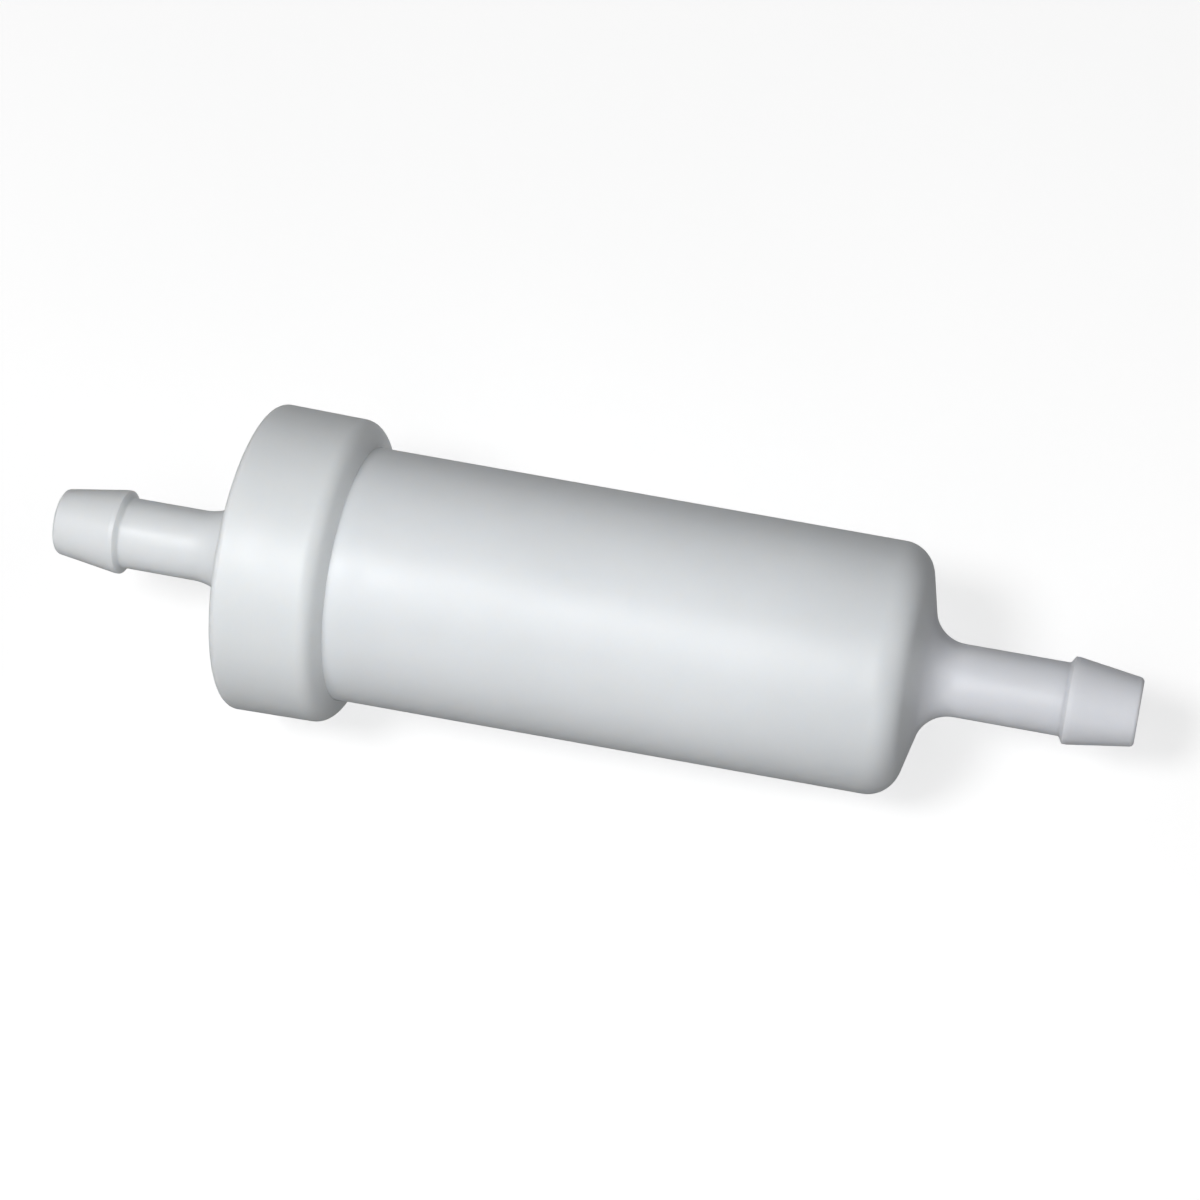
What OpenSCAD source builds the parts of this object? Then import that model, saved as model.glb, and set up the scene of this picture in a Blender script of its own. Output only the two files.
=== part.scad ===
// In-line fuel filter: a screw cap with the inlet barb, a canister with the outlet barb, and between
// them a spring-loaded pleated element. The flow axis is X: the inlet barb points to -X, the outlet
// barb to +X, and the origin is the middle of the overall length. Millimetres.

/* [Hose barbs] */
// Outside diameter of both hose stems
stem_d = 8; // [7.8:0.1:8.2]
// Diameter over the crest of each barb
barb_d = 9.5; // [9:0.1:9.8]
// Diameter at the tip of each barb
tip_d = 7.4; // [7:0.1:7.8]
// Length of each barb, from its tip to the back of its crest
barb_l = 7.5; // [6.5:0.1:8.5]
// Diameter of the fuel passage
bore_d = 5.2; // [4.8:0.1:5.4]
// Length of the inlet stem, from its tip to the face of the cap
inlet_l = 22.2; // [21:0.1:26]
// Length of the outlet stem, from its tip to the end of the canister
outlet_l = 22.3; // [21:0.1:26]

/* [Cap] */
// Outside diameter of the cap at its face
cap_d = 34.6; // [34.4:0.1:37]
// Outside diameter of the cap at its mouth, before the bevel
cap_mouth_d = 34.1; // [34:0.1:34.4]
// Length of the cap's rim
cap_l = 11.9; // [11.9:0.1:13]
// How far the cap's face stands out from its rim towards the stem
cap_rise = 1.1; // [0.8:0.1:2]
// Radius of the blend between the cap's face and its stem
cap_blend = 6.4; // [4:0.1:7]
// Length of the bevel round the cap's mouth
cap_bevel = 1.1; // [0.9:0.1:2]
// Radius of the edge between the rim and that bevel
cap_round = 2; // [0.4:0.1:2.4]

/* [Canister] */
// Outside diameter of the canister where it enters the cap
can_d = 28.5; // [28.3:0.1:28.5]
// Outside diameter of the canister at its closed end
can_end_d = 27.7; // [27.3:0.1:28.4]
// Length of the canister that shows outside the cap
can_l = 61.9; // [58:0.1:64]
// How far the canister's end stands out from its corner towards the stem
end_rise = 2.4; // [2:0.1:3]
// Radius of the canister's end corner
end_round = 3.6; // [2:0.1:4]
// Radius of the blend between the canister's end and its stem
end_blend = 3.8; // [2:0.1:4.5]
// Inside diameter of the canister
can_id = 22.4; // [22.2:0.1:22.6]

/* [Screw thread] */
// Pitch of the right-hand thread between the cap and the canister
pitch = 2.5; // [2.4:0.1:2.6]
// Height of the ridge of each thread
ridge_h = 1; // [0.8:0.05:1]

/* [Filter element] */
// Number of pleats in the paper
pleats = 26; // [16:1:28]
// Thickness of the paper
paper_t = 0.35; // [0.25:0.05:0.4]
// Outside diameter of the element's end caps
element_d = 20.2; // [20.2:0.1:20.6]
// Outside diameter of the folded paper
media_d = 18.8; // [18:0.1:18.9]
// Outside diameter of the perforated core
core_d = 9.2; // [8.8:0.1:9.2]
// Number of rows of holes along the core
core_rows = 14; // [6:1:14]

/* [Spring] */
// Diameter of the spring's wire
wire_d = 0.8; // [0.6:0.05:0.8]
// Diameter of the spring, measured to the middle of its wire
coil_d = 12.4; // [12:0.1:13]

/* [Hidden] */
$fn = 96;

// Colours
shell_white = [0.92, 0.93, 0.92];
core_white = [0.82, 0.84, 0.85];
paper_cream = [0.87, 0.80, 0.62];
bond_amber = [0.80, 0.62, 0.34];
end_cap_green = [0.30, 0.42, 0.36];
rubber_black = [0.08, 0.08, 0.09];
steel = [0.70, 0.71, 0.73];

// Stations along the axis
inlet_tip = -(inlet_l + cap_rise + cap_l + can_l + end_rise + outlet_l) / 2;
cap_face = inlet_tip + inlet_l;
rim_start = cap_face + cap_rise;
rim_end = rim_start + cap_l;
can_corner = rim_end + can_l;
can_end = can_corner + end_rise;
outlet_tip = can_end + outlet_l;

// Barbs
tip_round = 0.5;
crest_land = 0.5;
crest_back = 0.45;

// Joint between cap and canister, radii unless named otherwise
slack = 0.25;
touch = 0.02;
thread_root = can_d / 2 - 0.05 - ridge_h;
thread_crest = thread_root + ridge_h;
cap_root = thread_crest + slack;
mouth_r = can_d / 2 + 0.05;
mouth_l = 0.7;
cap_crest = cap_root - ridge_h;
ridge_base_w = 1.5;
ridge_crest_w = 0.8;
thread_start = rim_start + 6;
thread_end = rim_end - 1.4;
o_ring_wire = 1.2;
spigot_r = cap_crest - 0.15 - o_ring_wire;
spigot_clear = 0.15;
shoulder = thread_start - 1.1;
spigot_end = shoulder - 1.8;
cap_step = shoulder - o_ring_wire - touch;
cavity_face = rim_start + 1.6;

// Inlet strainer
strainer_r = 5.6;
strainer_bed = cavity_face - 1.6;
screen_t = 0.3;
strainer_hole_r = 4.4;
screen_gap = 0.9;
screen_step = 1.25;
fit_gap = 0.05;

// Spring and its seat
seat_t = 1;
seat_r = 8.2;
seat_hole_r = 3.4;
hub_r = 5.3;
hub_h = 1.1;
spring_start = cavity_face + touch + seat_t;
spring_end = spring_start + 5.4;
end_coil_pitch = 0.84;
spring_turns = 4.5;

// Filter element
element_start = spring_end;
end_cap_t = 1;
bond_t = 0.8;
skirt_t = 0.6;
skirt_l = 2.4;
core_t = 0.8;
media_start = element_start + end_cap_t + bond_t;
media_end = can_corner - 6.4;
bond_r = element_d / 2 - skirt_t - fit_gap;
core_hole_r = 0.9;
media_fold_gap = 0.25;
media_inner_r = core_d / 2 + 0.4;
clip_t = 0.2;
clip_depth = 2.2;

// Outlet end of the element and its seat
open_face = media_end + bond_t + end_cap_t;
boss_h = 0.8;
outlet_boss_r = 7.5;
can_floor = can_corner - 2.6;
outlet_spigot_r = 3.9;
element_bore_r = bore_d / 2 - 0.2;
seat_bore_r = 5.6;
seat_depth = 3;
seat_floor = can_floor + seat_depth;
rib_w = 1.2;
rib_l = 16;
rib_count = 4;

// ---- Geometry helpers ----

function unit(v) = v / norm(v);

// Points that replace corner b of the path a-b-c by an arc of radius rad
function corner(a, b, c, rad) =
    rad == 0 ? [b] :
    let (to_a = unit(a - b),
         to_c = unit(c - b),
         half = acos(to_a * to_c) / 2,
         centre = b + unit(to_a + to_c) * rad / sin(half),
         from = b + to_a * rad / tan(half) - centre,
         to = b + to_c * rad / tan(half) - centre,
         start = atan2(from.y, from.x),
         turn = (atan2(to.y, to.x) - start + 540) % 360 - 180,
         steps = max(2, ceil(abs(turn) / 7.5)))
    [for (i = [0:steps]) centre + rad * [cos(start + turn * i / steps), sin(start + turn * i / steps)]];

// Closed outline from [radius, station, corner radius] points
function outline(v) =
    let (n = len(v), xy = [for (p = v) [p[0], p[1]]])
    [for (i = [0:n - 1]) each corner(xy[(i + n - 1) % n], xy[i], xy[(i + 1) % n], v[i][2])];

// Turns Z into X, starting at a station
module along_x(station = 0) {
    translate([station, 0, 0])
        rotate([0, 90, 0])
            children();
}

module lathe(v) {
    along_x()
        rotate_extrude()
            polygon(outline(v));
}

module washer(r_in, r_out, from, to) {
    along_x(from)
        difference() {
            cylinder(r = r_out, h = to - from);
            translate([0, 0, -1])
                cylinder(r = r_in, h = to - from + 2);
        }
}

// Triangles that close a row of rings, each ring with the same number of points
function skin(rings, sides) =
    let (last = (rings - 1) * sides)
    concat(
        [for (i = [0:rings - 2]) for (j = [0:sides - 1])
            let (k = (j + 1) % sides, a = i * sides)
            each [[a + j, a + sides + j, a + k], [a + k, a + sides + j, a + sides + k]]],
        [for (j = [1:sides - 2]) [0, j, j + 1]],
        [for (j = [1:sides - 2]) [last, last + j + 1, last + j]]);

function on_helix(x, r, angle) = [x, r * cos(angle), r * sin(angle)];

// Right-hand screw ridge on a wall of radius r_base, up or down to r_crest
module screw_ridge(r_base, r_crest, from, to, start_angle) {
    turns = (to - from) / pitch;
    rings = ceil(turns * 48);
    fade = 1 / 12;
    sink = 0.3 * sign(r_crest - r_base);
    slope = (ridge_base_w - ridge_crest_w) / 2 / ridge_h;
    profile = function (height) [
        [-ridge_base_w / 2 - slope * 0.3, -sink],
        [ridge_base_w / 2 + slope * 0.3, -sink],
        [ridge_base_w / 2 - slope * height, height * sign(sink)],
        [-ridge_base_w / 2 + slope * height, height * sign(sink)]];
    points = [for (i = [0:rings])
        let (t = i / rings,
             rise = min(1, t * turns / fade, (1 - t) * turns / fade),
             ring = profile(max(0.05, rise) * abs(r_crest - r_base)))
        for (p = sink > 0 ? ring : [for (j = [3:-1:0]) ring[j]])
            on_helix(from + (to - from) * t + p.x, r_base + p.y, start_angle + 360 * turns * t)];
    polyhedron(points, skin(rings + 1, 4));
}

// ---- Casing ----

module outlet_canister() {
    color(shell_white) {
        lathe([
            [bore_d / 2, outlet_tip, 0],
            [tip_d / 2, outlet_tip, tip_round],
            [barb_d / 2, outlet_tip - barb_l + crest_land, 0],
            [barb_d / 2, outlet_tip - barb_l, 0.1],
            [stem_d / 2, outlet_tip - barb_l - crest_back, 0.3],
            [stem_d / 2, can_end, end_blend],
            [can_end_d / 2, can_corner, end_round],
            [can_d / 2, rim_end, 0],
            [can_d / 2, rim_end - 0.6, 0.1],
            [thread_root, rim_end - 0.9, 0],
            [thread_root, shoulder, 0],
            [spigot_r, shoulder, 0],
            [spigot_r, spigot_end, 0.3],
            [can_id / 2, spigot_end, 0.2],
            [can_id / 2 - 0.2, can_floor, 1.5],
            [seat_bore_r, can_floor, 0],
            [seat_bore_r, seat_floor, 0],
            [bore_d / 2, seat_floor, 0]]);
        screw_ridge(thread_root, thread_crest, thread_start, thread_end, 0);
        guide_ribs();
    }
}

// Short ribs that centre the open end of the element in the canister
module guide_ribs() {
    tip_r = element_d / 2 + 0.15;
    for (i = [0:rib_count - 1])
        rotate([45 + i * 360 / rib_count, 0, 0])
            translate([can_floor - rib_l, -rib_w / 2, tip_r])
                cube([rib_l + 0.5, rib_w, can_id / 2 - tip_r + 0.5]);
}

module inlet_cap() {
    color(shell_white) {
        lathe([
            [bore_d / 2, inlet_tip, 0],
            [bore_d / 2, strainer_bed - strainer_hole_r + bore_d / 2, 0],
            [strainer_hole_r, strainer_bed, 0],
            [strainer_r, strainer_bed, 0],
            [strainer_r, cavity_face, 0],
            [spigot_r + spigot_clear, cavity_face, 0.5],
            [spigot_r + spigot_clear, cap_step, 0],
            [cap_crest, cap_step, 0],
            [cap_crest, thread_start - 1, 0],
            [cap_root, thread_start - 0.5, 0],
            [cap_root, rim_end - mouth_l, 0],
            [mouth_r, rim_end - mouth_l, 0],
            [mouth_r, rim_end, 0],
            [cap_root, rim_end, 0],
            [cap_mouth_d / 2, rim_end - cap_bevel, cap_round],
            [cap_d / 2, rim_start, 0.8],
            [stem_d / 2, cap_face, cap_blend],
            [stem_d / 2, inlet_tip + barb_l + crest_back, 0.3],
            [barb_d / 2, inlet_tip + barb_l, 0.1],
            [barb_d / 2, inlet_tip + barb_l - crest_land, 0],
            [tip_d / 2, inlet_tip, tip_round]]);
        screw_ridge(cap_root, cap_crest, thread_start, thread_end, 180);
    }
}

module cap_o_ring() {
    color(rubber_black)
        along_x(shoulder - o_ring_wire / 2)
            rotate_extrude()
                translate([spigot_r + o_ring_wire / 2, 0])
                    circle(d = o_ring_wire, $fn = 48);
}

// ---- Inlet strainer ----

module strainer_screen() {
    reach = floor(strainer_hole_r / screen_step);
    color(steel)
        along_x(strainer_bed)
            difference() {
                cylinder(r = strainer_r - fit_gap, h = screen_t);
                for (i = [-reach:reach])
                    for (j = [-reach:reach])
                        if (norm([i, j]) * screen_step < strainer_hole_r - screen_gap / 2)
                            translate([i * screen_step - screen_gap / 2, j * screen_step - screen_gap / 2, -1])
                                cube([screen_gap, screen_gap, screen_t + 2]);
            }
}

module strainer_ring() {
    color(core_white)
        washer(strainer_hole_r, strainer_r, strainer_bed + screen_t, cavity_face - 0.2);
}

// ---- Spring ----

module spring_seat() {
    color(steel)
        lathe([
            [seat_hole_r, cavity_face + touch, 0],
            [seat_r, cavity_face + touch, 0.2],
            [seat_r, spring_start, 0.2],
            [hub_r, spring_start, 0.2],
            [hub_r, spring_start + hub_h, 0.4],
            [seat_hole_r + 1, spring_start + hub_h, 0.4],
            [seat_hole_r + 1, spring_start - 0.4, 0],
            [seat_hole_r, spring_start - 0.4, 0]]);
}

// Compression spring with one closed coil at each end
module element_spring() {
    sides = 10;
    rings = spring_turns * 24;
    span = spring_end - spring_start - wire_d - 2 * touch;
    active_pitch = (span - 2 * end_coil_pitch) / (spring_turns - 2);
    rise = function (turn)
        turn < 1 ? turn * end_coil_pitch :
        turn > spring_turns - 1 ? span - (spring_turns - turn) * end_coil_pitch :
        end_coil_pitch + (turn - 1) * active_pitch;
    start = spring_start + touch + wire_d / 2;
    points = [for (i = [0:rings])
        let (turn = spring_turns * i / rings)
        for (j = [0:sides - 1])
            let (a = -360 * j / sides)
            on_helix(start + rise(turn) + wire_d / 2 * sin(a), coil_d / 2 + wire_d / 2 * cos(a), 360 * turn)];
    color(steel)
        polyhedron(points, skin(rings + 1, sides));
}

// ---- Filter element ----

module element_closed_end() {
    r = element_d / 2;
    inner = element_start + end_cap_t;
    color(end_cap_green)
        lathe([
            [0, element_start - hub_h, 0],
            [hub_r, element_start - hub_h, 0.3],
            [hub_r, element_start, 0.2],
            [r, element_start, 0.3],
            [r, inner + skirt_l, 0.2],
            [r - skirt_t, inner + skirt_l, 0.2],
            [r - skirt_t, inner, 0],
            [0, inner, 0]]);
}

module closed_end_bond() {
    color(bond_amber)
        along_x(element_start + end_cap_t)
            cylinder(r = bond_r, h = bond_t);
}

// Zigzag outline of the folds: "wide" is the half width at the outer folds, "narrow" at the inner ones
function folds(r_out, wide, r_in, narrow) =
    let (fold = 360 / pleats)
    [for (i = [0:pleats - 1])
        each [
            [r_out, i * fold - wide / r_out * 180 / PI],
            [r_out, i * fold + wide / r_out * 180 / PI],
            [r_in, (i + 0.5) * fold - narrow / r_in * 180 / PI],
            [r_in, (i + 0.5) * fold + narrow / r_in * 180 / PI]]];

function polar(v) = [for (p = v) [p[0] * cos(p[1]), p[0] * sin(p[1])]];

module pleated_media() {
    gap = media_fold_gap / 2;
    r_out = media_d / 2;
    outside = polar(folds(r_out, gap + paper_t, media_inner_r + paper_t, gap));
    inside = polar(folds(r_out - paper_t, gap, media_inner_r, gap + paper_t));
    n = len(outside);
    color(paper_cream)
        along_x(media_start)
            linear_extrude(media_end - media_start)
                polygon(concat(outside, inside), paths = [[for (i = [0:n - 1]) i], [for (i = [0:n - 1]) n + i]]);
}

// Metal channel crimped over the fold where the two ends of the paper meet
module seam_clip() {
    half = media_fold_gap / 2 + paper_t + fit_gap;
    r_out = media_d / 2 + fit_gap;
    inset = skirt_l + 0.4;
    color(steel)
        along_x(media_start + inset)
            linear_extrude(media_end - media_start - 2 * inset)
                difference() {
                    translate([r_out - clip_depth, -half - clip_t])
                        square([clip_depth + clip_t, 2 * (half + clip_t)]);
                    translate([r_out - clip_depth - 1, -half])
                        square([clip_depth + 1, 2 * half]);
                }
}

module element_core() {
    step = (media_end - media_start) / core_rows;
    color(core_white)
        difference() {
            washer(core_d / 2 - core_t, core_d / 2, media_start, media_end);
            for (row = [0:core_rows - 1])
                for (i = [0:2])
                    translate([media_start + (row + 0.5) * step, 0, 0])
                        rotate([i * 60 + (row % 2) * 30, 0, 0])
                            cylinder(r = core_hole_r, h = core_d + 2, center = true, $fn = 32);
        }
}

module open_end_bond() {
    color(bond_amber)
        washer(core_d / 2 - core_t, bond_r, media_end, media_end + bond_t);
}

module element_open_end() {
    r = element_d / 2;
    inner = media_end + bond_t;
    color(end_cap_green)
        lathe([
            [element_bore_r, inner, 0],
            [r - skirt_t, inner, 0],
            [r - skirt_t, inner - skirt_l, 0.2],
            [r, inner - skirt_l, 0.2],
            [r, open_face, 0.3],
            [outlet_boss_r, open_face, 0.2],
            [outlet_boss_r, open_face + boss_h, 0.2],
            [outlet_spigot_r, open_face + boss_h, 0],
            [outlet_spigot_r, seat_floor - 0.3, 0.4],
            [element_bore_r, seat_floor - 0.3, 0]]);
}

// Rubber sleeve between the element's spigot and its seat in the canister
module outlet_grommet() {
    color(rubber_black)
        lathe([
            [outlet_spigot_r, open_face + boss_h, 0],
            [outlet_boss_r, open_face + boss_h, 0.3],
            [outlet_boss_r, can_floor, 0.3],
            [seat_bore_r, can_floor, 0],
            [seat_bore_r, seat_floor - 0.5, 0.4],
            [outlet_spigot_r, seat_floor - 0.5, 0]]);
}

outlet_canister();
inlet_cap();
cap_o_ring();
strainer_screen();
strainer_ring();
spring_seat();
element_spring();
element_closed_end();
closed_end_bond();
pleated_media();
seam_clip();
element_core();
open_end_bond();
element_open_end();
outlet_grommet();
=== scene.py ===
"""Looks of the in-line fuel filter: smooth shells, inner parts, materials, floor, lights and camera.

Lengths are in millimetres until a mesh is made, and MM turns them into Blender's metres. The flow axis is X.
"""

import math
import random

import bmesh
import bpy
import numpy as np
from mathutils import Matrix, Vector


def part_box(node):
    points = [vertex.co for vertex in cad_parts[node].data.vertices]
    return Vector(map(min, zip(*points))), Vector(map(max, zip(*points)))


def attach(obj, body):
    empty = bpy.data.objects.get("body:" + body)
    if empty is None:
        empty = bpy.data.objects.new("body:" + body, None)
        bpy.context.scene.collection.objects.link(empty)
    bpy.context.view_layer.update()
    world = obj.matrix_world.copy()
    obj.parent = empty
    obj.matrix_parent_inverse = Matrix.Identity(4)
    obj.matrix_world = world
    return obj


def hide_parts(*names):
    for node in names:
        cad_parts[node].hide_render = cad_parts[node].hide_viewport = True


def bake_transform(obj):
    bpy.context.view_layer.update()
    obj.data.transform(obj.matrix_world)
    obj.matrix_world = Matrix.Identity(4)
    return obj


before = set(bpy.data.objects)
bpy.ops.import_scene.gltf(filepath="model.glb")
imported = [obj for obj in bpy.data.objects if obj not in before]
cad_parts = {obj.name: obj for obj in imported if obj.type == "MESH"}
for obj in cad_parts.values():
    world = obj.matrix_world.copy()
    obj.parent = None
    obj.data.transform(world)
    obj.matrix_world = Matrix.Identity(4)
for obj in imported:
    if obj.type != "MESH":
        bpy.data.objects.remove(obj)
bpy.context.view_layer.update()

MM = 0.001
random.seed(7)


# ---- Places and sizes, from the CAD nodes ----

def box(node):
    """Lowest and highest corner of a CAD node, in millimetres."""
    lo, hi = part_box(node)
    return lo / MM, hi / MM


cap_lo, cap_hi = box("inlet_cap")
can_lo, can_hi = box("outlet_canister")
ring_lo, ring_hi = box("cap_o_ring")
screen_lo, screen_hi = box("strainer_screen")
holder_r = box("strainer_ring")[1].z
seat_start = box("spring_seat")[0].x
spring_lo, spring_hi = box("element_spring")
media_lo, media_hi = box("pleated_media")
clip_lo, clip_hi = box("seam_clip")

# Gap that keeps faces apart where they meet
TOUCH = 0.02

# Barbs and stems, the same at both ends
BORE_R = 2.6
STEM_R = 4.0
CREST_R = 4.75
TIP_R = 3.7
BARB_L = 7.5
CREST_LAND = 0.5
CREST_BACK = 0.45
MOUTH_CHAMFER = 0.25
STEM_L = 22.2

# Cap
CAP_R = 17.3
CAP_RISE = 1.1
CAP_FACE = cap_lo.x + STEM_L
CAP_BLEND = 6.4
FACE_ROUND = 0.9
RIM_START = CAP_FACE + CAP_RISE
RIM_END = cap_hi.x
MOUTH_R = 17.05
BEVEL = 1.1
RIM_ROUND = 2.0
CAVITY_FACE = seat_start - TOUCH

# Canister
CAN_R = can_hi.z
CAN_END_R = 13.85
CAN_L = 61.9
END_RISE = 2.4
END_ROUND = 3.6
END_BLEND = 3.8
CORNER = RIM_END + CAN_L
CAN_END = CORNER + END_RISE
CAN_INNER_R = 11.2
CAN_FLOOR = CORNER - 2.6
WALL_DRAFT = 0.2
SEAT_BORE_R = 5.6
SEAT_FLOOR = CAN_FLOOR + 3.0

# Screw joint
RIDGE_H = 1.0
PITCH = 2.5
SLACK = 0.25
MOUTH_GAP = 0.05
MOUTH_LIP = 0.7
THREAD_ROOT = CAN_R - MOUTH_GAP - RIDGE_H
THREAD_CREST = THREAD_ROOT + RIDGE_H
CAP_ROOT = THREAD_CREST + SLACK
CAP_CREST = CAP_ROOT - RIDGE_H
THREAD_START = RIM_START + 6.0
THREAD_END = RIM_END - 1.4
SHOULDER = ring_hi.x
SPIGOT_GAP = 0.15
SPIGOT_R = CAP_CREST - SPIGOT_GAP - 1.2
CAP_STEP = ring_lo.x - TOUCH


# ---- Mesh helpers ----

def corner(a, b, c, radius, step=math.radians(5)):
    """Points that replace corner b of the path a-b-c by an arc."""
    if not radius:
        return [b]
    to_a, to_c = (a - b).normalized(), (c - b).normalized()
    half = math.acos(max(-1.0, min(1.0, to_a.dot(to_c)))) / 2
    centre = b + (to_a + to_c).normalized() * (radius / math.sin(half))
    first = b + to_a * (radius / math.tan(half)) - centre
    last = b + to_c * (radius / math.tan(half)) - centre
    start = math.atan2(first.y, first.x)
    turn = (math.atan2(last.y, last.x) - start + math.pi) % math.tau - math.pi
    steps = max(3, math.ceil(abs(turn) / step))
    angles = [start + turn * i / steps for i in range(steps + 1)]
    return [centre + Vector((math.cos(t), math.sin(t))) * radius for t in angles]


def outline(points):
    """Closed outline through (x, r, corner radius) points."""
    flat = [Vector((x, r)) for x, r, _ in points]
    path = []
    for i, (_, _, radius) in enumerate(points):
        path += corner(flat[i - 1], flat[i], flat[(i + 1) % len(flat)], radius)
    return path


def split_runs(path, longest, lead=0.12):
    """Cuts the straight runs of a closed path into steps, with a short step at each end."""
    out = []
    for i, a in enumerate(path):
        run = path[(i + 1) % len(path)] - a
        out.append(a)
        if run.length > 4 * lead:
            inner = run.length - 2 * lead
            count = max(1, math.ceil(inner / longest))
            out += [a + run.normalized() * (lead + inner * k / count) for k in range(count + 1)]
    return out


def make(name, verts, faces, material, body, slot, replaces=(), sharp=40):
    """A shown piece from points in millimetres, riding a CAD body."""
    mesh = bpy.data.meshes.new(name)
    mesh.from_pydata([tuple(Vector(v) * MM) for v in verts], [], faces)
    work = bmesh.new()
    work.from_mesh(mesh)
    bmesh.ops.recalc_face_normals(work, faces=work.faces)
    work.to_mesh(mesh)
    work.free()
    mesh.shade_smooth()
    mesh.set_sharp_from_angle(angle=math.radians(sharp))
    mesh.materials.append(material)
    obj = bpy.data.objects.new(name, mesh)
    bpy.context.scene.collection.objects.link(obj)
    if body:
        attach(obj, body)
    if replaces:
        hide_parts(*replaces)
    return obj


def around(x, r, turn):
    """The point at station x, radius r and angle turn about the flow axis."""
    return (x, r * math.cos(turn), r * math.sin(turn))


def revolved(points, longest=1.5, segments=192):
    """Points and faces of a closed outline turned about the flow axis."""
    path = split_runs(outline(points), longest)
    n = len(path)
    verts = [around(p.x, p.y, math.tau * i / segments) for i in range(segments) for p in path]
    faces = []
    for i in range(segments):
        here, there = i * n, (i + 1) % segments * n
        faces += [(here + j, here + (j + 1) % n, there + (j + 1) % n, there + j) for j in range(n)]
    return verts, faces


def skinned(rings, closed_ends=True):
    """Points and faces of a skin over rings that all have the same number of points."""
    n = len(rings[0])
    verts = [v for ring in rings for v in ring]
    faces = []
    for i in range(len(rings) - 1):
        here, there = i * n, (i + 1) * n
        faces += [(here + j, here + (j + 1) % n, there + (j + 1) % n, there + j) for j in range(n)]
    if closed_ends:
        faces.append(tuple(range(n)))
        faces.append(tuple(len(verts) - n + j for j in range(n)))
    return verts, faces


def joined(*parts):
    """Several (points, faces) pairs as one."""
    verts, faces = [], []
    for v, f in parts:
        faces += [tuple(i + len(verts) for i in face) for face in f]
        verts += v
    return verts, faces


# ---- Materials ----

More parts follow.
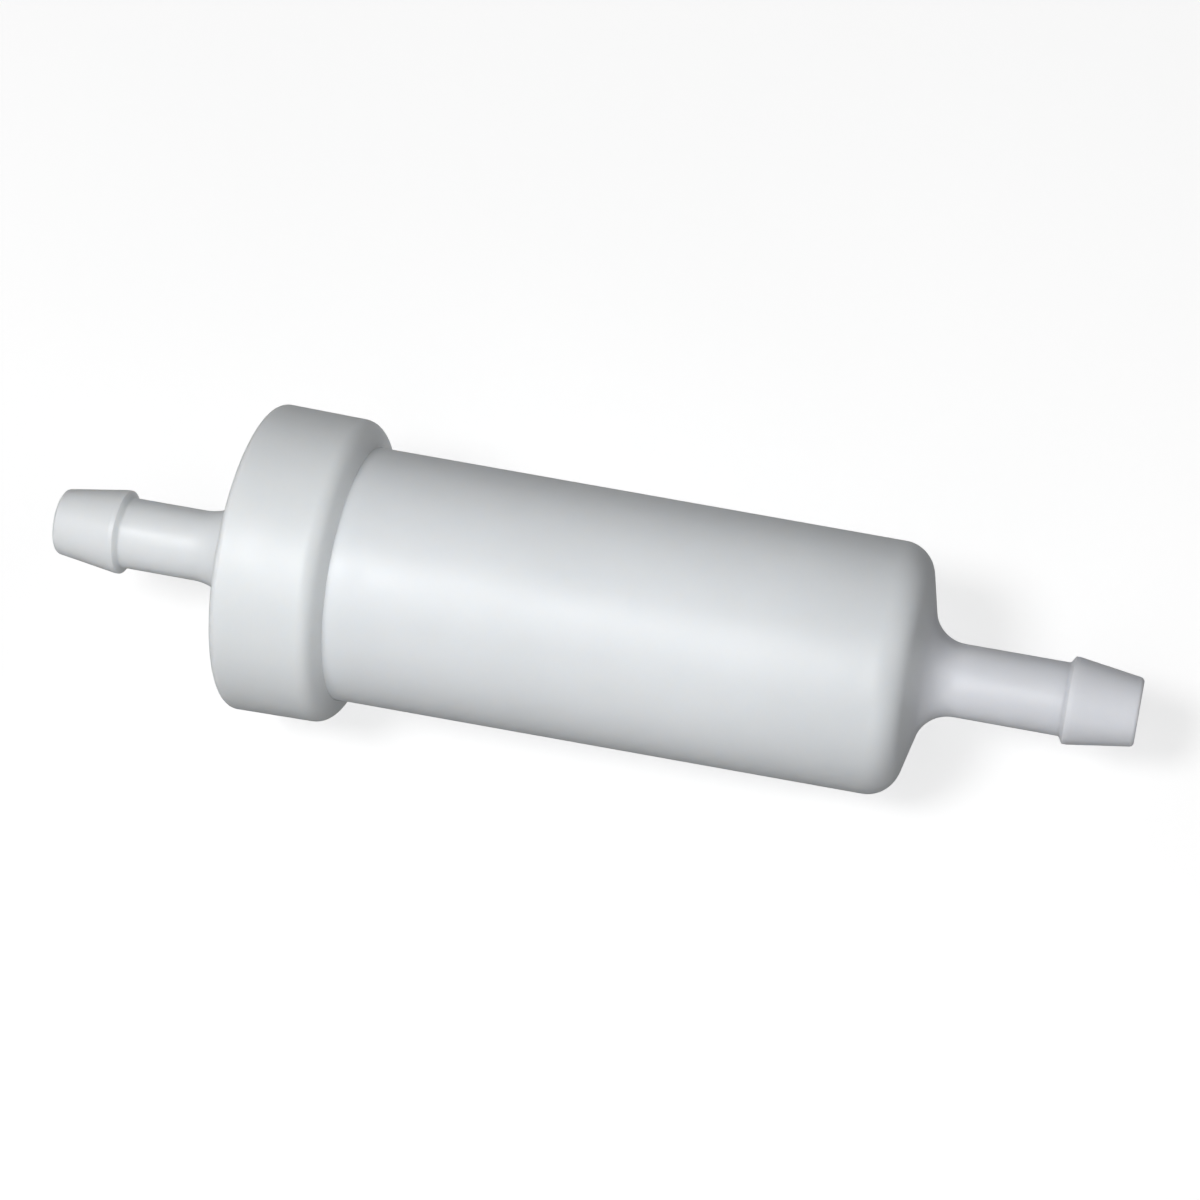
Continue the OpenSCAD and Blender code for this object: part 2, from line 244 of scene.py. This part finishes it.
class Shader:
    """A node material with a Principled surface, and short calls to wire textures into it."""

    def __init__(self, name, colour, **sockets):
        self.material = bpy.data.materials.new(name)
        self.material.use_nodes = True
        self.tree = self.material.node_tree
        self.surface = self.tree.nodes["Principled BSDF"]
        self.surface.inputs["Base Color"].default_value = (*colour, 1)
        for key, value in sockets.items():
            self.surface.inputs[key.replace("_", " ")].default_value = value
        self.place = self.node("ShaderNodeTexCoord").outputs["Object"]

    def node(self, kind, **settings):
        made = self.tree.nodes.new(kind)
        for key, value in settings.items():
            setattr(made, key, value)
        return made

    def feed(self, source, target):
        self.tree.links.new(source, target)

    def noise(self, scale, detail=3.0, stretch=(1, 1, 1)):
        """Noise from 0 to 1 in object space, scale in cells per metre."""
        shift = self.node("ShaderNodeMapping")
        shift.inputs["Scale"].default_value = stretch
        self.feed(self.place, shift.inputs["Vector"])
        made = self.node("ShaderNodeTexNoise")
        made.inputs["Scale"].default_value = scale
        made.inputs["Detail"].default_value = detail
        self.feed(shift.outputs["Vector"], made.inputs["Vector"])
        return made.outputs["Fac"]

    def spread(self, source, low, high):
        """The middle of a 0 to 1 texture, stretched to low to high."""
        made = self.node("ShaderNodeMapRange")
        made.inputs["From Min"].default_value = 0.3
        made.inputs["From Max"].default_value = 0.7
        made.inputs["To Min"].default_value = low
        made.inputs["To Max"].default_value = high
        self.feed(source, made.inputs["Value"])
        return made.outputs["Result"]

    def one_sided(self):
        """Clear from behind, so that a view from below the floor shows the underside."""
        clear = self.node("ShaderNodeBsdfTransparent")
        mix = self.node("ShaderNodeMixShader")
        self.feed(self.node("ShaderNodeNewGeometry").outputs["Backfacing"], mix.inputs["Fac"])
        self.feed(self.surface.outputs["BSDF"], mix.inputs[1])
        self.feed(clear.outputs["BSDF"], mix.inputs[2])
        self.feed(mix.outputs["Shader"], self.tree.nodes["Material Output"].inputs["Surface"])

    def axis_distance(self, near, far):
        """0 to 1 as the distance from the flow axis goes from near to far, in millimetres."""
        apart = self.node("ShaderNodeSeparateXYZ")
        self.feed(self.place, apart.inputs["Vector"])
        across = self.node("ShaderNodeCombineXYZ")
        self.feed(apart.outputs["Y"], across.inputs["Y"])
        self.feed(apart.outputs["Z"], across.inputs["Z"])
        length = self.node("ShaderNodeVectorMath", operation="LENGTH")
        self.feed(across.outputs["Vector"], length.inputs[0])
        made = self.node("ShaderNodeMapRange", interpolation_type="SMOOTHSTEP")
        made.inputs["From Min"].default_value = near * MM
        made.inputs["From Max"].default_value = far * MM
        self.feed(length.outputs["Value"], made.inputs["Value"])
        return made.outputs["Result"]

    def along_axis(self, near, far, end):
        """1 to end as the place along the flow axis goes from near to far, in millimetres."""
        apart = self.node("ShaderNodeSeparateXYZ")
        self.feed(self.place, apart.inputs["Vector"])
        made = self.node("ShaderNodeMapRange", interpolation_type="SMOOTHSTEP")
        made.inputs["From Min"].default_value = near * MM
        made.inputs["From Max"].default_value = far * MM
        made.inputs["To Min"].default_value = 1.0
        made.inputs["To Max"].default_value = end
        self.feed(apart.outputs["X"], made.inputs["Value"])
        return made.outputs["Result"]

    def product(self, first, second):
        made = self.node("ShaderNodeMath", operation="MULTIPLY")
        self.feed(first, made.inputs[0])
        self.feed(second, made.inputs[1])
        return made.outputs["Value"]

    def colour_between(self, source, first, second):
        """A colour from first to second as the source goes from 0 to 1; it becomes the surface's colour."""
        mix = self.node("ShaderNodeMix", data_type="RGBA")
        mix.inputs["A"].default_value = (*first, 1)
        mix.inputs["B"].default_value = (*second, 1)
        self.feed(source, mix.inputs["Factor"])
        self.feed(mix.outputs["Result"], self.surface.inputs["Base Color"])
        return mix.outputs["Result"]

    def shaded(self, colour, amount):
        """A colour multiplied by a grey amount."""
        mix = self.node("ShaderNodeVectorMath", operation="SCALE")
        self.feed(colour, mix.inputs[0])
        self.feed(amount, mix.inputs["Scale"])
        return mix.outputs["Vector"]

    def roughness(self, source, low, high):
        self.feed(self.spread(source, low, high), self.surface.inputs["Roughness"])
        return self

    def bumps(self, *layers):
        """Bump layers of (texture, depth in metres)."""
        normal = None
        for source, depth in layers:
            bump = self.node("ShaderNodeBump")
            bump.inputs["Strength"].default_value = 1.0
            bump.inputs["Distance"].default_value = depth
            self.feed(source, bump.inputs["Height"])
            if normal:
                self.feed(normal, bump.inputs["Normal"])
            normal = bump.outputs["Normal"]
        self.feed(normal, self.surface.inputs["Normal"])
        return self


def tinted(colour, factor):
    return tuple(min(1.0, c * factor) for c in colour)


def white_plastic(name, colour, stem_shade_colour, line_depth, end_shade=None):
    """
    Satin white fuel-resistant plastic, milky, with fine lines around the flow axis, and painted shade that
    greys the barbs, stems and their blends.

    The last argument, which is from, to and how far, paints shade that darkens the colour along the flow
    axis.
    """
    made = Shader(name, colour, Roughness=0.4, Subsurface_Weight=1.0, Subsurface_Scale=0.0015, IOR=1.48)
    made.surface.inputs["Subsurface Radius"].default_value = (1.0, 0.95, 0.9)
    cloud = made.noise(90, detail=4)
    # Painted shade: the barbs, stems and their blends take a greyer colour, fading to the plain colour by 10
    # mm from the flow axis.
    wall = made.colour_between(made.axis_distance(STEM_R + 1.2, STEM_R + 6), stem_shade_colour, colour)
    shade = made.spread(cloud, 0.985, 1.015)
    # Painted shade: the colour darkens along the flow axis, on the canister towards its outlet end.
    if end_shade:
        shade = made.product(shade, made.along_axis(*end_shade))
    made.feed(made.shaded(wall, shade), made.surface.inputs["Base Color"])
    lines = made.noise(1.0, detail=5, stretch=(2600, 6, 6))
    grain = made.noise(2200, detail=2)
    made.roughness(made.noise(400), 0.36, 0.44)
    made.bumps((lines, line_depth), (grain, 0.000004))
    return made.material


def rubber(name):
    made = Shader(name, (0.022, 0.022, 0.024), Roughness=0.55)
    made.roughness(made.noise(600), 0.48, 0.66)
    made.bumps((made.noise(3000), 0.00001))
    return made.material


def steel(name, colour, stretch, depth=0.000006, rough=(0.24, 0.36)):
    made = Shader(name, colour, Metallic=1.0, Roughness=0.3)
    drawn = made.noise(500, detail=4, stretch=stretch)
    made.colour_between(made.spread(drawn, 0, 1), tinted(colour, 0.92), tinted(colour, 1.06))
    made.roughness(drawn, *rough)
    made.bumps((drawn, depth))
    return made.material


def filter_paper(name):
    made = Shader(name, (0.78, 0.66, 0.43), Roughness=0.92, Specular_IOR_Level=0.25)
    fibres = made.noise(1100, detail=6, stretch=(1, 2.5, 2.5))
    made.colour_between(made.spread(fibres, 0, 1), (0.70, 0.57, 0.34), (0.83, 0.72, 0.50))
    made.bumps((fibres, 0.00006), (made.noise(4500), 0.00002))
    return made.material


def resin(name):
    made = Shader(name, (0.55, 0.33, 0.10), Roughness=0.2, Coat_Weight=0.4, Subsurface_Weight=0.2)
    made.surface.inputs["Subsurface Scale"].default_value = 0.001
    cloud = made.noise(350)
    made.colour_between(made.spread(cloud, 0, 1), (0.46, 0.26, 0.07), (0.62, 0.40, 0.14))
    made.bumps((cloud, 0.00004))
    return made.material


def moulded(name, colour, rough=0.5):
    made = Shader(name, colour, Roughness=rough)
    cloud = made.noise(250)
    made.colour_between(made.spread(cloud, 0, 1), tinted(colour, 0.93), tinted(colour, 1.05))
    made.roughness(cloud, rough - 0.06, rough + 0.08)
    made.bumps((made.noise(2600, detail=2), 0.000012))
    return made.material


# In both plastics the second colour is painted shade that greys the stems.
# The canister's plastic also has painted shade that darkens it from x = 14 to 38 mm, down to 0.925 at the
# outlet end.
SHELL = white_plastic("shell_plastic", (0.795, 0.82, 0.84), (0.785, 0.80, 0.838), 0.000004, (14, 38, 0.925))
CAP = white_plastic("cap_plastic", (0.795, 0.82, 0.834), (0.785, 0.805, 0.82), 0.000007)
RUBBER = rubber("seal_rubber")
WIRE = steel("spring_steel", (0.60, 0.60, 0.61), (8, 1, 1))
SHEET = steel("plate_steel", (0.64, 0.64, 0.64), (1, 6, 1), rough=(0.28, 0.42))
WOVEN = steel("screen_steel", (0.55, 0.55, 0.54), (1, 1, 1))
PAPER = filter_paper("filter_paper")
RESIN = resin("bond_resin")
END_CAP = moulded("end_cap_plastic", (0.16, 0.26, 0.20))
CORE = moulded("core_plastic", (0.72, 0.74, 0.74))


# ---- Casing ----

def barb(tip, back):
    """Outline of a hose barb and its stem's start, from the tip; back is +1 or -1, away from the tip."""
    return [
        (tip + back * MOUTH_CHAMFER, BORE_R, 0),
        (tip, BORE_R + MOUTH_CHAMFER, 0.05),
        (tip, TIP_R, 0.5),
        (tip + back * (BARB_L - CREST_LAND), CREST_R, 0.3),
        (tip + back * BARB_L, CREST_R, 0.12),
        (tip + back * (BARB_L + CREST_BACK), STEM_R, 0.35)]


def screw_ridge(base, crest, start_turn):
    """Right-hand screw ridge with rounded crest, faded out at both ends, sunk a little into its wall."""
    turns = (THREAD_END - THREAD_START) / PITCH
    steps = math.ceil(turns * 96)
    side = math.copysign(1, crest - base)
    shape = [(-0.86, -0.3), (-0.78, -0.08), (-0.72, 0.05), (-0.46, 0.78), (-0.36, 0.94), (-0.22, 1.0),
             (0.22, 1.0), (0.36, 0.94), (0.46, 0.78), (0.72, 0.05), (0.78, -0.08), (0.86, -0.3)]
    rings = []
    for i in range(steps + 1):
        t = i / steps
        rise = max(0.03, min(1, t * turns * 12, (1 - t) * turns * 12))
        x = THREAD_START + (THREAD_END - THREAD_START) * t
        turn = math.radians(start_turn) + math.tau * turns * t
        rings.append([around(x + dx, base + side * (h * rise if h > 0 else h) * RIDGE_H, turn)
                      for dx, h in shape])
    return skinned(rings)


def guide_ribs(tip_r=10.25, width=1.2, length=16.0):
    """The four ribs that centre the element in the canister, with a ramp where the element slides in."""
    start, sunk = CAN_FLOOR - length, 0.2
    stations = [(start, 0.75), (start + 0.6, 0.2), (start + 1.4, 0), (CAN_FLOOR + 0.4, 0)]
    section = [(-0.5, 1), (-0.5, 0.15), (-0.36, 0), (0.36, 0), (0.5, 0.15), (0.5, 1)]
    height = CAN_INNER_R + sunk - tip_r
    parts = []
    for i in range(4):
        turn = math.radians(45 + 90 * i)
        out = Vector((0, math.cos(turn), math.sin(turn)))
        across = Vector((0, -math.sin(turn), math.cos(turn)))
        rings = []
        for x, low in stations:
            rings.append([Vector((x, 0, 0)) + across * (w * width) + out * (tip_r + height * max(h, low))
                          for w, h in section])
        parts.append(skinned(rings))
    return joined(*parts)


def canister():
    shell = revolved([
        *barb(can_hi.x, -1),
        (CAN_END, STEM_R, END_BLEND),
        (CORNER, CAN_END_R, END_ROUND),
        (RIM_END, CAN_R, 0),
        (RIM_END - 0.6, CAN_R, 0.12),
        (RIM_END - 0.9, THREAD_ROOT, 0.1),
        (SHOULDER, THREAD_ROOT, 0.12),
        (SHOULDER, SPIGOT_R, 0.1),
        (can_lo.x, SPIGOT_R, 0.3),
        (can_lo.x, CAN_INNER_R, 0.25),
        (CAN_FLOOR, CAN_INNER_R - WALL_DRAFT, 1.5),
        (CAN_FLOOR, SEAT_BORE_R, 0.15),
        (SEAT_FLOOR, SEAT_BORE_R, 0.1),
        (SEAT_FLOOR, BORE_R, 0.1)])
    made = joined(shell, screw_ridge(THREAD_ROOT, THREAD_CREST, 0), guide_ribs())
    make("canister_shell", *made, SHELL, "canister", "shell_plastic", ["outlet_canister"])


def cap():
    bed, hole = screen_lo.x, 4.4
    shell = revolved([
        *reversed(barb(cap_lo.x, 1)),
        (bed - hole + BORE_R, BORE_R, 0),
        (bed, hole, 0.05),
        (bed, holder_r, 0.05),
        (CAVITY_FACE, holder_r, 0.15),
        (CAVITY_FACE, SPIGOT_R + SPIGOT_GAP, 0.5),
        (CAP_STEP, SPIGOT_R + SPIGOT_GAP, 0.08),
        (CAP_STEP, CAP_CREST, 0.1),
        (THREAD_START - 1, CAP_CREST, 0.1),
        (THREAD_START - 0.5, CAP_ROOT, 0.1),
        (RIM_END - MOUTH_LIP, CAP_ROOT, 0),
        (RIM_END - MOUTH_LIP, CAN_R + MOUTH_GAP, 0),
        (RIM_END, CAN_R + MOUTH_GAP, 0.04),
        (RIM_END, CAP_ROOT, 0.1),
        (RIM_END - BEVEL, MOUTH_R, RIM_ROUND),
        (RIM_START, CAP_R, FACE_ROUND),
        (CAP_FACE, STEM_R, CAP_BLEND)])
    made = joined(shell, screw_ridge(CAP_ROOT, CAP_CREST, 180))
    make("cap_shell", *made, CAP, "cap", "cap_plastic", ["inlet_cap"])


# ---- Strainer, spring and element ----

def screen():
    """Woven wire disc with a rolled rim."""
    wire, pitch, wave, roll = 0.065, 0.5, 0.07, 0.13
    reach, rim_r = screen_hi.z - 0.16, screen_hi.z - 0.14
    mid = (screen_lo.x + screen_hi.x) / 2
    parts = []
    count = int(reach / pitch)
    for axis in (0, 1):
        for k in range(-count, count + 1):
            across = k * pitch
            half = math.sqrt(reach ** 2 - across ** 2)
            steps = max(4, int(2 * half / pitch * 4))
            rings = []
            for i in range(steps + 1):
                along = -half + 2 * half * i / steps
                lift = wave * math.cos(math.pi * (along / pitch + k + axis))
                ring = []
                for j in range(6):
                    turn = math.tau * j / 6
                    spot = (across + wire * math.cos(turn), along)
                    y, z = spot if axis else spot[::-1]
                    ring.append((mid + lift + wire * math.sin(turn), y, z))
                rings.append(ring)
            parts.append(skinned(rings))
    rim = [[around(mid + roll * math.sin(math.tau * j / 10), rim_r + roll * math.cos(math.tau * j / 10),
                   math.tau * i / 120) for j in range(10)] for i in range(121)]
    parts.append(skinned(rim, closed_ends=False))
    make("screen_weave", *joined(*parts), WOVEN, "cap", "screen_steel", ["strainer_screen"])


def spring():
    """Compression spring with a closed, ground coil at each end."""
    wire_r, ground = 0.4, 0.12
    turns, end_pitch, sides = 4.5, 0.84, 20
    coil_r = spring_hi.z - wire_r
    span = spring_hi.x - spring_lo.x - 2 * wire_r
    active = (span - 2 * end_pitch) / (turns - 2)
    rings = []
    steps = int(turns * 72)
    for i in range(steps + 1):
        turn = turns * i / steps
        if turn < 1:
            rise = turn * end_pitch
        elif turn > turns - 1:
            rise = span - (turns - turn) * end_pitch
        else:
            rise = end_pitch + (turn - 1) * active
        ring = []
        for j in range(sides):
            a = math.tau * j / sides
            x = spring_lo.x + wire_r + rise + wire_r * math.sin(a)
            x = min(max(x, spring_lo.x + ground), spring_hi.x - ground)
            ring.append(around(x, coil_r + wire_r * math.cos(a), math.tau * turn))
        rings.append(ring)
    coil = make("spring_coil", *skinned(rings), WIRE, None, "spring_steel", ["element_spring"])
    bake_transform(coil)


def media():
    """The folded paper: rounded folds, a slight lean that differs from fold to fold, and pressed ripples."""
    pleats, paper, gap = 26, 0.35, 0.25
    fold_r, most_lean, lean_length = 5.0, 0.10, 14
    ripple_depth, ripple_pitch = 0.03, 2.88
    bend = gap / 2 + paper / 2
    outer_r = media_hi.z - bend - paper / 2
    inner_r = fold_r + bend + paper / 2
    lean = [(random.uniform(-1, 1) * most_lean, random.uniform(0, math.tau)) for _ in range(pleats)]
    stations = np.linspace(media_lo.x, media_hi.x, 61)
    arc = [math.radians(a) for a in range(-90, 91, 18)]

    def folds(x, offset):
        """One side of the paper at station x."""
        ring = []
        inside = (x - media_lo.x) * (media_hi.x - x) / ((media_hi.x - media_lo.x) / 2) ** 2
        ripple = ripple_depth * math.cos(math.tau * (x - media_lo.x) / ripple_pitch) * min(1, inside * 8)
        for k in range(pleats):
            size, phase = lean[k]
            sway = size * inside * math.sin(phase + x / lean_length) / outer_r
            for radius, turn, way in ((outer_r, math.tau * k / pleats + sway, 1),
                                      (inner_r, math.tau * (k + 0.5) / pleats, -1)):
                out = np.array([math.cos(turn), math.sin(turn)])
                side = np.array([-math.sin(turn), math.cos(turn)])
                for a in arc:
                    reach = bend + way * offset + (ripple if abs(a) > 1.2 else 0)
                    spot = out * radius + reach * (way * math.cos(a) * out + math.sin(a) * side)
                    ring.append((x, -spot[1], -spot[0]))
        return ring

    outer = [folds(x, paper / 2) for x in stations]
    inner = [folds(x, -paper / 2) for x in stations]
    n = len(outer[0])
    verts = [v for ring in outer + inner for v in ring]
    faces = []
    rows = len(stations)
    for i in range(rows - 1):
        for j in range(n):
            k = (j + 1) % n
            a, b = i * n, (i + 1) * n
            faces.append((a + j, a + k, b + k, b + j))
            a, b = (rows + i) * n, (rows + i + 1) * n
            faces.append((a + j, b + j, b + k, a + k))
    for j in range(n):
        k = (j + 1) % n
        faces.append((j, rows * n + j, rows * n + k, k))
        a, b = (rows - 1) * n, (2 * rows - 1) * n
        faces.append((a + j, a + k, b + k, b + j))
    make("paper_folds", verts, faces, PAPER, "canister", "filter_paper", ["pleated_media"], sharp=60)


def clip():
    """Crimped metal channel over the paper's seam, nipped every few millimetres."""
    wall, depth, spacing = 0.2, 0.05, 4
    half = (clip_hi.y - clip_lo.y) / 2
    top, foot = clip_lo.z, clip_hi.z
    rings = []
    for x in np.linspace(clip_lo.x, clip_hi.x, 105):
        nip = depth * max(0, math.cos(math.tau * (x - clip_lo.x) / spacing)) ** 6
        w = half - nip
        section = [(w, foot), (w, top + 0.25), (w - 0.08, top + 0.08), (w - 0.25, top), (0, top),
                   (-w + 0.25, top), (-w + 0.08, top + 0.08), (-w, top + 0.25), (-w, foot),
                   (-w + wall, foot), (-w + wall, top + wall), (w - wall, top + wall), (w - wall, foot)]
        rings.append([(x, y, z) for y, z in section])
    make("clip_channel", *skinned(rings), SHEET, "canister", "plate_steel", ["seam_clip"])


def finish_cad_nodes():
    """CAD nodes whose shape stays get their material."""
    looks = {"cap_o_ring": RUBBER, "outlet_grommet": RUBBER, "spring_seat": SHEET, "strainer_ring": CORE,
             "element_core": CORE, "closed_end_bond": RESIN, "open_end_bond": RESIN,
             "element_closed_end": END_CAP, "element_open_end": END_CAP}
    for node, material in looks.items():
        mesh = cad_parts[node].data
        mesh.materials.clear()
        mesh.materials.append(material)


# ---- Floor, light and camera ----

CAMERA_ELEVATION = 65
FLOOR_WHITE = 0.6
FLOOR_GLOW = 0.50
SKY = 0.12


def resting_tilt():
    """Angle of the surface that touches the cap's rim and the canister's far corner, and its distance."""
    rim = outline([
        (RIM_START, 0, 0),
        (RIM_END, 0, 0),
        (RIM_END - BEVEL, MOUTH_R, RIM_ROUND),
        (RIM_START, CAP_R, FACE_ROUND)])
    end = outline([
        (CAN_END, STEM_R, END_BLEND),
        (CORNER, CAN_END_R, END_ROUND),
        (RIM_END, CAN_R, 0),
        (RIM_END, 0, 0)])
    low, high = 0.0, math.radians(20)
    for _ in range(40):
        tilt = (low + high) / 2
        rim_reach = max(p.y * math.cos(tilt) + p.x * math.sin(tilt) for p in rim)
        end_reach = max(p.y * math.cos(tilt) + p.x * math.sin(tilt) for p in end)
        if rim_reach > end_reach:
            low = tilt
        else:
            high = tilt
    return tilt, rim_reach


def floor():
    """White surface that the filter lies on."""
    tilt, depth = resting_tilt()
    size = 6.0
    mesh = bpy.data.meshes.new("floor")
    corners = [(-size, -size, 0), (size, -size, 0), (size, size, 0), (-size, size, 0)]
    mesh.from_pydata(corners, [], [(0, 1, 2, 3)])
    obj = bpy.data.objects.new("floor", mesh)
    bpy.context.scene.collection.objects.link(obj)
    obj.rotation_euler = (0, -tilt, 0)
    down = Vector((math.sin(tilt), 0, -math.cos(tilt)))
    obj.location = down * depth * MM
    obj.visible_diffuse = False
    obj.visible_glossy = False
    obj.visible_shadow = False
    paint = Shader("floor_white", (FLOOR_WHITE,) * 3, Roughness=0.9, Specular_IOR_Level=0.1)
    paint.surface.inputs["Emission Color"].default_value = (1, 1, 1, 1)
    paint.surface.inputs["Emission Strength"].default_value = FLOOR_GLOW
    paint.one_sided()
    mesh.materials.append(paint.material)


def backdrop():
    """Pale shell round the scene, which only the camera sees; it meets the far floor without an edge."""
    radius = 5.0
    shell = bmesh.new()
    bmesh.ops.create_uvsphere(shell, u_segments=64, v_segments=32, radius=radius)
    mesh = bpy.data.meshes.new("backdrop")
    shell.to_mesh(mesh)
    shell.free()
    obj = bpy.data.objects.new("backdrop", mesh)
    bpy.context.scene.collection.objects.link(obj)
    obj.visible_diffuse = False
    obj.visible_glossy = False
    obj.visible_transmission = False
    obj.visible_shadow = False
    paint = Shader("backdrop_white", (0, 0, 0), Roughness=1.0, Specular_IOR_Level=0.0)
    paint.surface.inputs["Emission Color"].default_value = (1, 1, 1, 1)
    paint.surface.inputs["Emission Strength"].default_value = FLOOR_GLOW + FLOOR_WHITE * SKY
    mesh.materials.append(paint.material)


def from_camera_side(up_angle, left_angle):
    """Unit vector towards a light, by its angles up and to the left of the camera's line to the flow axis."""
    e, a, b = math.radians(CAMERA_ELEVATION), math.radians(up_angle), math.radians(left_angle)
    to_camera, above = Vector((0, -math.cos(e), math.sin(e))), Vector((0, math.sin(e), math.cos(e)))
    return (to_camera * math.cos(a) + above * math.sin(a)) * math.cos(b) - Vector((math.sin(b), 0, 0))


def soft_light(name, up_angle, left_angle, strength, size, distance=0.8, shadow=True, gloss=True):
    """Disc light aimed at the filter's middle; strength 1 gives a facing white surface a radiance of 1."""
    light = bpy.data.lights.new(name, "AREA")
    light.shape = "DISK"
    light.size = size
    light.energy = strength * (math.pi * distance) ** 2
    light.use_shadow = shadow
    obj = bpy.data.objects.new(name, light)
    bpy.context.scene.collection.objects.link(obj)
    obj.visible_camera = False
    obj.visible_glossy = gloss
    back = from_camera_side(up_angle, left_angle)
    obj.location = back * distance
    obj.rotation_mode = "QUATERNION"
    obj.rotation_quaternion = back.to_track_quat("Z", "Y")


def lights():
    world = bpy.data.worlds.new("studio")
    bpy.context.scene.world = world
    world.use_nodes = True
    tree = world.node_tree
    tree.nodes["Background"].inputs["Color"].default_value = (1, 1, 1, 1)
    tree.nodes["Background"].inputs["Strength"].default_value = SKY
    soft_light("key", 6, 20, 0.35, 0.22, distance=0.75)
    soft_light("front", -9, 5, 0.43, 0.5, distance=0.75, shadow=False)
    soft_light("left", 10, 62, 0.06, 0.4)
    soft_light("right", 32, -58, 0.11, 0.4)
    soft_light("low", -50, -25, 0.125, 0.8, distance=1.6)
    soft_light("behind", 152, 0, 0.42, 0.2, gloss=False)
    soft_light("under", 180, 0, 0.4, 0.4, gloss=False)


def camera():
    """Looks down on the filter from near the outlet end, turned back towards the middle."""
    foot_x, distance = 60.33, 337.1
    yaw, pitch, roll = math.radians(9.92), math.radians(0.30), math.radians(10.09)
    elevation = math.radians(CAMERA_ELEVATION)
    away = Vector((0, math.cos(elevation), -math.sin(elevation)))
    above = Vector((0, math.sin(elevation), math.cos(elevation)))
    forward = Vector((-math.sin(yaw) * math.cos(pitch), 0, 0))
    forward += away * math.cos(yaw) * math.cos(pitch) + above * math.sin(pitch)
    right = forward.cross(above).normalized()
    up = right.cross(forward)
    turned = right * math.cos(roll) + up * math.sin(roll)
    cam = bpy.data.objects.new("camera", bpy.data.cameras.new("camera"))
    bpy.context.scene.collection.objects.link(cam)
    cam.data.sensor_width = 36
    cam.data.lens = 93.5
    cam.data.clip_start = 0.01
    place = (Vector((foot_x, 0, 0)) - away * distance) * MM
    basis = Matrix((turned, turned.cross(forward), -forward)).transposed()
    cam.matrix_world = Matrix.Translation(place) @ basis.to_4x4()
    bpy.context.scene.camera = cam


canister()
cap()
screen()
spring()
media()
clip()
finish_cad_nodes()
floor()
backdrop()
lights()
camera()
bpy.context.scene.view_settings.view_transform = "Standard"
